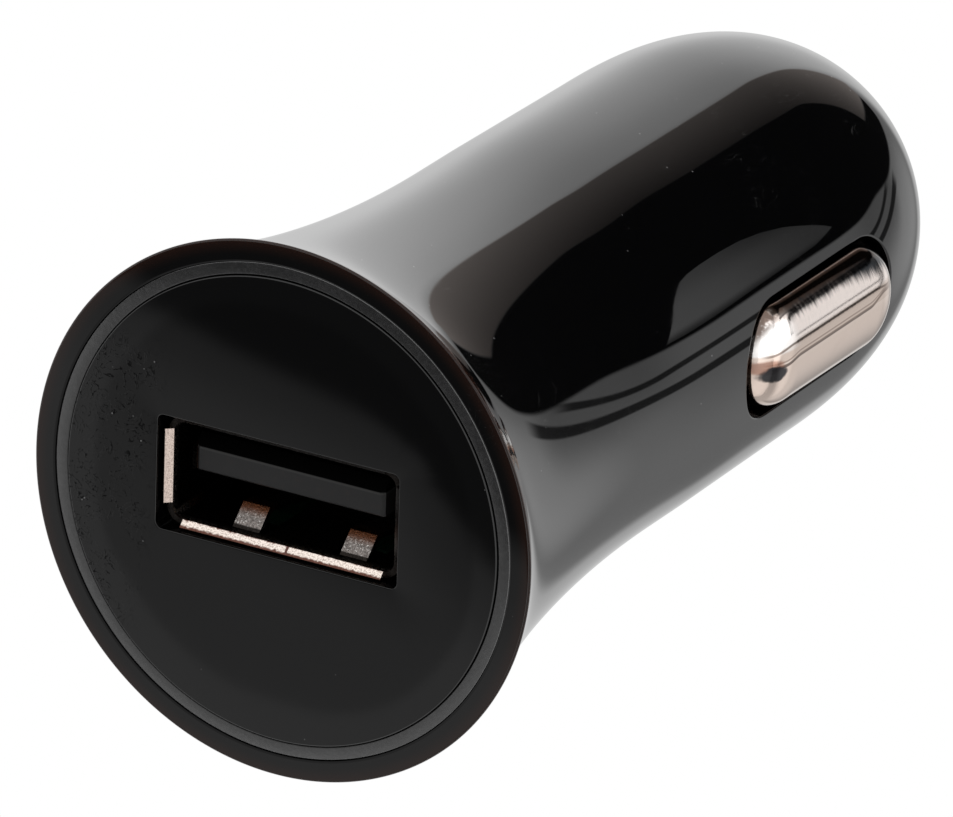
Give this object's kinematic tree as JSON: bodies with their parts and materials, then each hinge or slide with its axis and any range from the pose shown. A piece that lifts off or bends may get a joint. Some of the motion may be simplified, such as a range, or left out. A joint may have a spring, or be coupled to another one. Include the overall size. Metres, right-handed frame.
{
  "type": "car usb charger plug",
  "caption": "Glossy black charger plug for a car's 12 volt socket, with a flared front, a USB-A port and nickel-plated side contacts.",
  "frame": {"origin": "centre of the front face, on the surface that it stands on", "axes": "+Z along the axis from the front face to the nose, +X towards the side contact that the picture shows, +Y towards the circuit board's side of the port"},
  "size_m": [0.028, 0.028, 0.0556],
  "materials": {
    "shell_gloss": "gloss",
    "face_satin": "satin",
    "ring_smoke": "satin",
    "port_metal": "satin",
    "insulator_black": "satin",
    "contact_gold": "satin",
    "board_green": "satin",
    "carrier_ivory": "matte",
    "led_clear": "gloss",
    "capacitor_can": "satin",
    "ferrite": "matte",
    "copper_wire": "gloss",
    "chip_black": "matte",
    "fuse_ceramic": "matte",
    "chip_ceramic": "matte",
    "solder": "gloss",
    "contact_nickel": "brushed",
    "spring_steel": "gloss",
    "brass_plate": "satin"
  },
  "bodies": {
    "housing": {"barrel_shell": "shell_gloss", "face_disc": "face_satin", "light_ring": "ring_smoke", "usb_shell": "port_metal", "usb_insulator": "insulator_black", "usb_contact_power": "contact_gold", "usb_contact_data_minus": "contact_gold", "usb_contact_data_plus": "contact_gold", "usb_contact_ground": "contact_gold", "circuit_board": "board_green", "board_carrier": "carrier_ivory", "status_led": "led_clear", "output_capacitor": "capacitor_can", "input_capacitor": "capacitor_can", "inductor_core": "ferrite", "inductor_winding": "copper_wire", "regulator_chip": "chip_black", "schottky_diode": "chip_black", "surface_fuse": "fuse_ceramic", "chip_resistors": "chip_black", "chip_capacitors": "chip_ceramic", "solder_joints": "solder", "nose_spring": "spring_steel", "spring_seat": "brass_plate"},
    "right_contact": {"side_contact_right": "contact_nickel"},
    "left_contact": {"side_contact_left": "contact_nickel"},
    "nose_plunger": {"nose_contact": "contact_nickel"}
  },
  "joints": [
    {"name": "side_contact_right_press", "type": "hinge", "parent": "housing", "child": "right_contact", "pos_m": [0.00725, 0, 0.0169], "axis": [0, -1, 0], "range_deg": [0, 5.2], "stiffness_Nm_per_rad": 0.68, "springref_deg": -1.15},
    {"name": "side_contact_left_press", "type": "hinge", "parent": "housing", "child": "left_contact", "pos_m": [-0.00725, 0, 0.0169], "axis": [0, 1, 0], "range_deg": [0, 5.2], "stiffness_Nm_per_rad": 0.68, "springref_deg": -1.15},
    {"name": "nose_contact_press", "type": "slide", "parent": "housing", "child": "nose_plunger", "axis": [0, 0, -1], "range_m": [0, 0.002], "stiffness_N_per_m": 1500, "springref_m": -0.001, "deforming": ["nose_spring"]}
  ]
}
